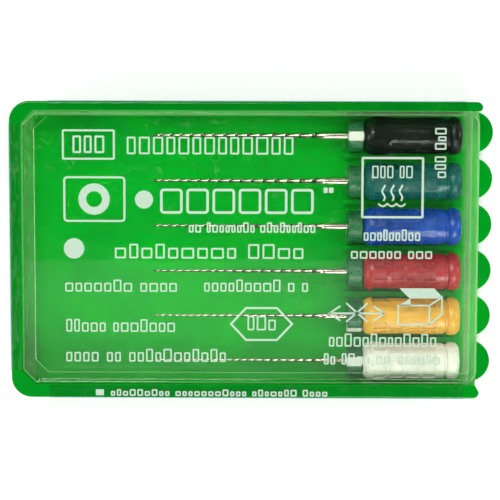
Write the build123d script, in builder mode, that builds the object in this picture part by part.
from build123d import *
import math
import os

# Sealed set of six endodontic (Hedstrom) hand files: an open-ended green tray, a clear cover that
# slides in under the tray's lips, a clear printed seal over both, and six files lying side by side.
# Millimetres. +X runs from the file tips to the handles and out of the tray's open end, +Z is up.
# The origin is the middle of the whole set's base.

# ---- Whole set
LENGTH = 47.8
WIDTH = 29.24
FILM = 0.08  # thickness of the clear seal

# ---- Tray
TRAY_LEFT = -LENGTH / 2 + FILM
TRAY_HALF = WIDTH / 2 - FILM
TRAY_HEIGHT = 6.0
FLOOR = 1.0
WALL = 0.5
LIP_LEFT_WIDTH = 1.05  # each lip's width runs from the tray's outer face to the lip's inner edge
LIP_REAR_WIDTH = 0.9
LIP_FRONT_WIDTH = 1.36
LIP_THICKNESS = 0.6
CORNER_RADIUS = 2.0
RAIL_TIP = 22.2
TIP_ROUND = 0.6
REAR_SLOPE = (0.25, 0.28)  # how far each lip's inner corner is cut off, along and across the rail
FRONT_SLOPE = (0.42, 0.72)
EDGE_ROUND = 0.2

# ---- Finger lobes, one for each file, at the open end of the floor
FILE_COUNT = 6
LOBE_PITCH = 4.62
LOBE_RADIUS = 2.1
LOBE_X = LENGTH / 2 - LOBE_RADIUS
FLOOR_END = 22.4  # the bottom of the notches between the lobes

# ---- Low dividers between the handles
DIVIDER_START = 8.9
DIVIDER_END = 20.45
DIVIDER_WIDTH = 0.5
DIVIDER_HEIGHT = 0.85

# ---- Sliding cover
SLIDE_GAP = 0.08
COVER_RIGHT = 21.9
PLATE_TOP = 5.95
FRAME_BOTTOM = 5.0  # just above the handles, because the frame's left side passes over them
FRAME_LEFT_WIDTH = 1.2  # each frame width runs from the plate's edge to the frame's inner edge
FRAME_REAR_WIDTH = 0.5
FRAME_FRONT_WIDTH = 1.0
RUNNER_BOTTOM = 4.4
RUNNER_WIDTH = 1.15  # narrow enough to clear the outer handles
CHAMFER = 1.25
RIGHT_ROUND = 1.3
RIM_BEVEL = 0.2
END_WALL = 0.7

# ---- Seal
SEAL_LEFT = -20.05
SEAL_RIGHT = 20.58
SEAL_REAR = 12.3
SEAL_FRONT = -11.85
SEAL_DROP = 0.4  # height above the base at which the flaps end
SEAL_INSET = 0.15  # from the cover's rim to the seal's edge

# ---- Files
FILE_PITCH = 4.48
AXIS_Z = 3.0
TIP_X = -10.14
WORKING_LENGTH = 21.0
CUTTING_LENGTH = 16.0
TAPER = 0.02
RUN_OUT = 1.4
SHANK_EXTRA = 0.1  # shank diameter over the cutting part's largest
ROOT_SHARE = 0.58  # radius at the bottom of a flute, as a share of the cutting radius
TOOTH_STEP = 0.06  # length of the drop behind each cutting edge
TIP_STEP = 0.02  # length of the blunt tip
TANG = 5.0
HANDLE_LENGTH = 9.55
HANDLE_RADIUS = 1.9
DIMPLE_ROWS = 10
DIMPLES_PER_ROW = 4
DIMPLE_PITCH = 1.62
DIMPLE_LENGTH = 1.3
DIMPLE_WIDTH = 0.82
DIMPLE_FLOOR = 1.64  # distance of the dimples' and thumb flats' flat floors from the axis
DIMPLE_START = 1.65
FLAT_LENGTH = 1.7
FLAT_START = 0.85
STOP_RADIUS = 1.58
STOP_THICKNESS = 1.5
STOP_ROUND = 0.18
STOP_GAP = 0.1
BORE_GAP = 0.03
STRIPE_WIDTH = 0.88
STRIPE_INNER = 0.75

# Handle colour, tip diameter, number of flutes, handle roll and stop roll in degrees from the top.
FILES = [
    ("black", 0.40, 14, 1, 0),
    ("green", 0.35, 15, -11, 150),
    ("blue", 0.30, 16, 50, 205),
    ("red", 0.25, 18, 98, 170),
    ("yellow", 0.20, 20, 85, -59),
    ("white", 0.15, 22, 20, 4),
]

HANDLE_X = TIP_X + WORKING_LENGTH
INNER_LEFT = TRAY_LEFT + WALL
INNER_HALF = TRAY_HALF - WALL
LIP_LEFT = TRAY_LEFT + LIP_LEFT_WIDTH
LIP_REAR = TRAY_HALF - LIP_REAR_WIDTH
LIP_FRONT = LIP_FRONT_WIDTH - TRAY_HALF
LIP_BOTTOM = TRAY_HEIGHT - LIP_THICKNESS
PLATE_LEFT = LIP_LEFT + SLIDE_GAP
PLATE_REAR = LIP_REAR - SLIDE_GAP
PLATE_FRONT = LIP_FRONT + SLIDE_GAP
FLANGE_LEFT = INNER_LEFT + SLIDE_GAP
FLANGE_HALF = INNER_HALF - SLIDE_GAP
FLANGE_TOP = LIP_BOTTOM - SLIDE_GAP
BEYOND = LENGTH  # far enough past the open end for a cut to leave the tray
BAY_EDGES = [(i - FILE_COUNT / 2) * LOBE_PITCH for i in range(1, FILE_COUNT)]

os.makedirs("parts", exist_ok=True)


def save(piece, name):
    """Labels a finished piece and writes it as its own STEP file."""
    piece.label = name
    export_step(piece, f"parts/{name}.step")


def spread(index, pitch):
    """Y of one of the six bays or files, counted from the rear (+Y) side."""
    return ((FILE_COUNT - 1) / 2 - index) * pitch


def span(low_x, high_x, low_y, high_y):
    """A rectangle between two X and two Y values."""
    with Locations(((low_x + high_x) / 2, (low_y + high_y) / 2)):
        Rectangle(high_x - low_x, high_y - low_y)


def left_corners(sketch):
    """The two corners of a sketch at its -X end."""
    return sketch.vertices().group_by(Axis.X)[0]


def right_corners(sketch):
    """The two corners of a sketch at its +X end."""
    return sketch.vertices().group_by(Axis.X)[-1]


# ---------------------------------------------------------------- Tray

with BuildPart() as tray:
    with BuildSketch() as outline:
        span(TRAY_LEFT, RAIL_TIP, -TRAY_HALF, TRAY_HALF)
        fillet(left_corners(outline), CORNER_RADIUS)
        fillet(right_corners(outline), TIP_ROUND)
    extrude(amount=TRAY_HEIGHT)
    outer_rim = tray.faces().filter_by(Axis.Z).edges()
    fillet(outer_rim, EDGE_ROUND)
    with BuildSketch(Plane.XY.offset(FLOOR)) as cavity:
        span(INNER_LEFT, BEYOND, -INNER_HALF, INNER_HALF)
        fillet(left_corners(cavity), CORNER_RADIUS - WALL)
    extrude(amount=LIP_BOTTOM - FLOOR, mode=Mode.SUBTRACT)
    with BuildSketch(Plane.XY.offset(LIP_BOTTOM)) as mouth:
        span(LIP_LEFT, BEYOND, LIP_FRONT, LIP_REAR)
        chamfer(left_corners(mouth), CHAMFER)
        # At the rails' free ends the lips' inner edges slope outward.
        for lip_y, side, (along, across) in ((LIP_REAR, 1, REAR_SLOPE), (LIP_FRONT, -1, FRONT_SLOPE)):
            with BuildLine():
                Polyline(
                    (RAIL_TIP - along, lip_y),
                    (RAIL_TIP, lip_y + side * across),
                    (RAIL_TIP, lip_y),
                    close=True,
                )
            make_face()
    extrude(amount=LIP_THICKNESS, mode=Mode.SUBTRACT)
    # The floor ends in six round lobes.
    with BuildSketch() as floor_end:
        span(FLOOR_END, BEYOND, -INNER_HALF, INNER_HALF)
    extrude(amount=FLOOR, mode=Mode.SUBTRACT)
    with BuildSketch() as lobes:
        span(FLOOR_END - 1, FLOOR_END, -INNER_HALF, INNER_HALF)
        for index in range(FILE_COUNT):
            with Locations((LOBE_X, spread(index, LOBE_PITCH))):
                Circle(LOBE_RADIUS)
    extrude(amount=FLOOR)
    with BuildSketch(Plane.XY.offset(FLOOR)) as dividers:
        for edge_y in BAY_EDGES:
            with Locations(((DIVIDER_START + DIVIDER_END) / 2, edge_y)):
                SlotOverall(DIVIDER_END - DIVIDER_START, DIVIDER_WIDTH)
    extrude(amount=DIVIDER_HEIGHT)
save(tray.part, "tray")


# ---------------------------------------------------------------- Cover

with BuildPart() as cover:
    with BuildSketch(Plane.XY.offset(FLANGE_TOP)) as plate:
        span(PLATE_LEFT, COVER_RIGHT, PLATE_FRONT, PLATE_REAR)
        chamfer(left_corners(plate), CHAMFER)
        fillet(right_corners(plate), RIGHT_ROUND)
    extrude(amount=PLATE_TOP - FLANGE_TOP)
    chamfer(cover.faces().sort_by(Axis.Z)[-1].edges(), RIM_BEVEL)
    # The frame thickens the plate's rim and reaches in under the lips.
    with BuildSketch(Plane.XY.offset(FRAME_BOTTOM)) as frame:
        span(FLANGE_LEFT, COVER_RIGHT, -FLANGE_HALF, FLANGE_HALF)
        fillet(left_corners(frame), CORNER_RADIUS - WALL - SLIDE_GAP)
        fillet(right_corners(frame), RIGHT_ROUND)
    extrude(amount=FLANGE_TOP - FRAME_BOTTOM)
    with BuildSketch(Plane.XY.offset(FRAME_BOTTOM)) as window:
        span(
            PLATE_LEFT + FRAME_LEFT_WIDTH,
            COVER_RIGHT - END_WALL,
            PLATE_FRONT + FRAME_FRONT_WIDTH,
            PLATE_REAR - FRAME_REAR_WIDTH,
        )
        chamfer(left_corners(window), CHAMFER)
    extrude(amount=FLANGE_TOP - FRAME_BOTTOM, mode=Mode.SUBTRACT)
    # Two runners and an end wall that closes the tray's open end, down to just above the floor.
    with BuildSketch(Plane.XY.offset(RUNNER_BOTTOM)):
        runner_left = FLANGE_LEFT + CORNER_RADIUS
        runner_right = COVER_RIGHT - RIGHT_ROUND
        span(runner_left, runner_right, FLANGE_HALF - RUNNER_WIDTH, FLANGE_HALF)
        span(runner_left, runner_right, -FLANGE_HALF, RUNNER_WIDTH - FLANGE_HALF)
    extrude(amount=FRAME_BOTTOM - RUNNER_BOTTOM)
    with BuildSketch(Plane.XY.offset(FLOOR + SLIDE_GAP)) as end_wall:
        span(COVER_RIGHT - END_WALL, COVER_RIGHT, -FLANGE_HALF, FLANGE_HALF)
        fillet(right_corners(end_wall), END_WALL * 0.7)
    extrude(amount=FRAME_BOTTOM - FLOOR - SLIDE_GAP)
save(cover.part, "cover")


# ---------------------------------------------------------------- Seal

with BuildPart() as label_film:
    with BuildSketch(Plane.XY.offset(PLATE_TOP)) as film_outline:
        film_left = PLATE_LEFT + SEAL_INSET + RIM_BEVEL
        film_front = PLATE_FRONT + SEAL_INSET + RIM_BEVEL
        film_rear = PLATE_REAR - SEAL_INSET - RIM_BEVEL
        with BuildLine():
            Polyline(
                (film_left, SEAL_FRONT),
                (SEAL_LEFT, film_front),
                (SEAL_RIGHT, film_front),
                (SEAL_RIGHT, film_rear),
                (SEAL_LEFT, film_rear),
                (film_left, SEAL_REAR),
                close=True,
            )
        make_face()
    extrude(amount=FILM)
save(label_film.part, "label_film")


def seal_section(outward, top_width):
    """Angle section of a seal flap: along the lip's top, then down the tray's side."""
    height = TRAY_HEIGHT + FILM - SEAL_DROP
    with Locations((outward * (FILM - top_width) / 2, -FILM / 2)):
        Rectangle(top_width + FILM, FILM)
    with Locations((outward * FILM / 2, -height / 2)):
        Rectangle(FILM, height)


FLAP_TOP = TRAY_HEIGHT + FILM
LIP_SHOWING = 0.12  # bare strip of lip beside each flap

for flap_name, side, lip in (("seal_flap_rear", 1, LIP_REAR_WIDTH), ("seal_flap_front", -1, LIP_FRONT_WIDTH)):
    flap_plane = Plane(origin=(SEAL_LEFT, side * TRAY_HALF, FLAP_TOP), x_dir=(0, 1, 0), z_dir=(1, 0, 0))
    with BuildPart() as flap:
        with BuildSketch(flap_plane):
            seal_section(side, lip - LIP_SHOWING)
        extrude(amount=SEAL_RIGHT - SEAL_LEFT)
    save(flap.part, flap_name)

left_plane = Plane(origin=(TRAY_LEFT, SEAL_REAR, FLAP_TOP), x_dir=(1, 0, 0), z_dir=(0, -1, 0))
with BuildPart() as left_flap:
    with BuildSketch(left_plane):
        seal_section(-1, LIP_LEFT_WIDTH - LIP_SHOWING)
    extrude(amount=SEAL_REAR - SEAL_FRONT)
save(left_flap.part, "seal_flap_left")


# ---------------------------------------------------------------- Files


def radial_plane(x, y, angle, radius):
    """Plane that faces away from a file's axis, radius from it, angle degrees from the top."""
    turn = math.radians(angle)
    outward = (0, math.sin(turn), math.cos(turn))
    origin = (x, y + radius * outward[1], AXIS_Z + radius * outward[2])
    return Plane(origin=origin, x_dir=(1, 0, 0), z_dir=outward)


def side_plane(x, y):
    """Plane through a file's axis: local x runs along the file, local y straight up."""
    return Plane(origin=(x, y, AXIS_Z), x_dir=(1, 0, 0), z_dir=(0, -1, 0))


def file_axis(y):
    return Axis((0, y, AXIS_Z), (1, 0, 0))


def make_handle(y, shank_radius, roll):
    """Plastic handle: a bulb at each end, a groove by the rear one, thumb flats and rows of dimples."""
    with BuildPart() as handle:
        with BuildSketch(side_plane(HANDLE_X, y)):
            with BuildLine():
                Line((0, 0), (0, 1.4))
                Spline(
                    (0, 1.4),
                    (0.38, 1.78),
                    (1.0, HANDLE_RADIUS),
                    (2.3, 1.8),
                    (5.0, 1.77),
                    (8.0, 1.77),
                )
                Polyline((8.0, 1.77), (8.1, 1.64), (8.3, 1.64), (8.4, 1.8))
                Spline((8.4, 1.8), (8.8, HANDLE_RADIUS - 0.02), (9.3, 1.76), (HANDLE_LENGTH, 1.45))
                Line((HANDLE_LENGTH, 1.45), (HANDLE_LENGTH, 0))
                Line((HANDLE_LENGTH, 0), (0, 0))
            make_face()
        revolve(axis=file_axis(y))
        row_middle = HANDLE_X + DIMPLE_START + (DIMPLES_PER_ROW - 1) * DIMPLE_PITCH / 2
        for row in range(DIMPLE_ROWS):
            angle = roll + row * 360 / DIMPLE_ROWS
            with BuildSketch(radial_plane(row_middle, y, angle, DIMPLE_FLOOR)):
                with GridLocations(DIMPLE_PITCH, 0, DIMPLES_PER_ROW, 1):
                    RectangleRounded(DIMPLE_LENGTH, DIMPLE_WIDTH, DIMPLE_WIDTH / 6)
            extrude(amount=1, mode=Mode.SUBTRACT)
        flat_middle = HANDLE_X + FLAT_START + FLAT_LENGTH / 2
        for angle in (roll, roll + 180):
            with BuildSketch(radial_plane(flat_middle, y, angle, DIMPLE_FLOOR)):
                Rectangle(FLAT_LENGTH, 2 * HANDLE_RADIUS)
            extrude(amount=1, mode=Mode.SUBTRACT)
        with BuildSketch(Plane(origin=(HANDLE_X, y, AXIS_Z), z_dir=(1, 0, 0))):
            Circle(shank_radius)
        extrude(amount=TANG, mode=Mode.SUBTRACT)
    return handle.part


def cutting_radius(tip_diameter, distance):
    """Radius of the cutting part at a distance from its tip."""
    return (tip_diameter + TAPER * distance) / 2


def shaft_outline(tip_diameter, flutes):
    """Half section of the steel: a tip, one cone for each flute, the run-out, the shank, the tang."""
    pitch = CUTTING_LENGTH / flutes
    points = [(0, 0)]
    for flute in range(flutes):
        start = flute * pitch
        end = start + pitch
        drop = TOOTH_STEP if flute else TIP_STEP
        points.append((start + drop, ROOT_SHARE * cutting_radius(tip_diameter, start)))
        points.append((end, cutting_radius(tip_diameter, end)))
    largest = cutting_radius(tip_diameter, CUTTING_LENGTH)
    shank = largest + SHANK_EXTRA / 2
    points.append((CUTTING_LENGTH + TOOTH_STEP, ROOT_SHARE * largest))
    points.append((CUTTING_LENGTH + RUN_OUT, shank))
    points.append((WORKING_LENGTH + TANG, shank))
    points.append((WORKING_LENGTH + TANG, 0))
    return points, shank


def make_shaft(y, outline_points):
    with BuildPart() as shaft:
        with BuildSketch(side_plane(TIP_X, y)):
            with BuildLine():
                Polyline(outline_points, close=True)
            make_face()
        revolve(axis=file_axis(y))
    return shaft.part


def make_stop(y, bore_radius, roll, stripe):
    """Silicone stop, or with stripe the white mark moulded into its rim."""
    stop_x = HANDLE_X - STOP_GAP - STOP_THICKNESS
    depth = STOP_RADIUS - STRIPE_INNER
    with BuildPart() as stop:
        with BuildSketch(side_plane(stop_x, y)) as section:
            with Locations((STOP_THICKNESS / 2, (STOP_RADIUS + bore_radius) / 2)):
                Rectangle(STOP_THICKNESS, STOP_RADIUS - bore_radius)
            fillet(section.vertices().group_by(Axis.Z)[-1], STOP_ROUND)
        revolve(axis=file_axis(y))
        with BuildSketch(radial_plane(stop_x + STOP_THICKNESS / 2, y, roll, STRIPE_INNER)):
            Rectangle(STOP_THICKNESS, STRIPE_WIDTH)
        extrude(amount=depth + 1, mode=Mode.INTERSECT if stripe else Mode.SUBTRACT)
    return stop.part


for index, (colour, tip_diameter, flutes, handle_roll, stop_roll) in enumerate(FILES):
    file_y = spread(index, FILE_PITCH)
    profile, shank_radius = shaft_outline(tip_diameter, flutes)
    bore_radius = shank_radius + BORE_GAP
    save(make_shaft(file_y, profile), f"{colour}_file_shaft")
    save(make_handle(file_y, shank_radius, handle_roll), f"{colour}_file_handle")
    save(make_stop(file_y, bore_radius, stop_roll, False), f"{colour}_file_stop")
    save(make_stop(file_y, bore_radius, stop_roll, True), f"{colour}_file_stop_mark")
